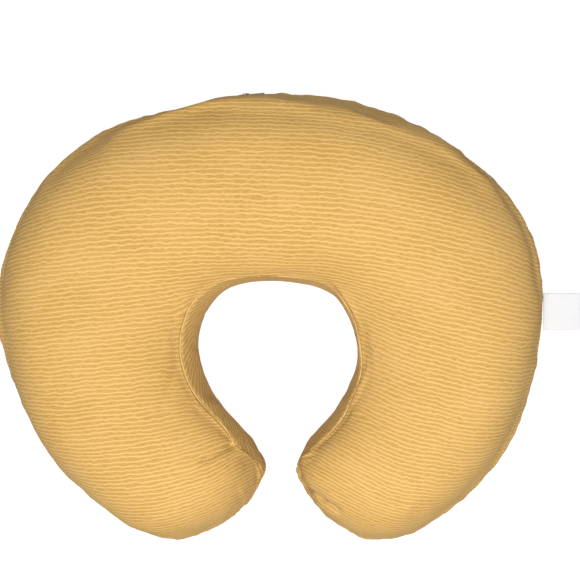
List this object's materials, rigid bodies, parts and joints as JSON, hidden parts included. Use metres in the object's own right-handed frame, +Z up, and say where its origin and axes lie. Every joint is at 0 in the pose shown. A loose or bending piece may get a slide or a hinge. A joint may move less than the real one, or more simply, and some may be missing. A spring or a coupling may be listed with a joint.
{
  "type": "nursing pillow",
  "caption": "C-shaped stuffed nursing pillow lying flat, with an inner casing, a removable striped cover with a waist-side gusset, a zipper in the back seam and a blank side label.",
  "frame": {"origin": "centre of the waist opening at its widest line, on the floor that the pillow lies on", "axes": "+Z up; +Y towards the closed back of the C, so the mouth between the arms faces -Y; +X towards the side label"},
  "size_m": [0.5511, 0.4252, 0.15],
  "materials": {
    "fibre": "lofty white polyester fibre",
    "casing_cloth": "plain woven off-white casing cloth",
    "casing_thread": "spun thread",
    "care_satin": "satin ribbon, blank",
    "cover_cloth": "honey-coloured cotton with pale wavy stripes, matte",
    "cover_thread": "spun thread",
    "zipper_tape": "woven tape",
    "zipper_teeth": "moulded plastic",
    "slider_metal": "dark olive enamel",
    "label_satin": "white satin ribbon, blank",
    "label_thread": "pale grey thread"
  },
  "bodies": {
    "pillow": {"fibre_fill": "fibre", "casing_top_panel": "casing_cloth", "casing_bottom_panel": "casing_cloth", "casing_gusset": "casing_cloth", "casing_outer_seam_thread": "casing_thread", "casing_gusset_upper_thread": "casing_thread", "casing_gusset_lower_thread": "casing_thread", "care_label": "care_satin", "cover_top_panel": "cover_cloth", "cover_bottom_panel": "cover_cloth", "cover_gusset": "cover_cloth", "cover_outer_seam_thread": "cover_thread", "cover_gusset_upper_thread": "cover_thread", "cover_gusset_lower_thread": "cover_thread", "tape_stitching_upper": "cover_thread", "tape_stitching_lower": "cover_thread", "zipper_tape_upper": "zipper_tape", "zipper_tape_lower": "zipper_tape", "zipper_teeth_upper": "zipper_teeth", "zipper_teeth_lower": "zipper_teeth", "zipper_top_stops": "zipper_teeth", "zipper_bottom_stop": "zipper_teeth"},
    "slider": {"zipper_slider": "slider_metal"},
    "pull": {"zipper_pull_tab": "slider_metal"},
    "label": {"side_label": "label_satin", "side_label_stitching": "label_thread"}
  },
  "joints": [
    {"name": "slider_travel", "type": "hinge", "parent": "pillow", "child": "slider", "pos_m": [0, -0.0773, 0.075], "axis": [0, 0, -1], "range_deg": [0, 42.5], "deforming": ["zipper_teeth_upper", "zipper_teeth_lower"]},
    {"name": "pull_flip", "type": "hinge", "parent": "slider", "child": "pull", "pos_m": [-0.0235, 0.24429, 0.075], "axis": [0, 0, 1], "range_deg": [0, 175]},
    {"name": "label_flex", "type": "hinge", "parent": "pillow", "child": "label", "pos_m": [0.2588, 0.037, 0.075], "axis": [0, -1, 0], "range_deg": [-60, 60], "stiffness_Nm_per_rad": 0.01}
  ]
}
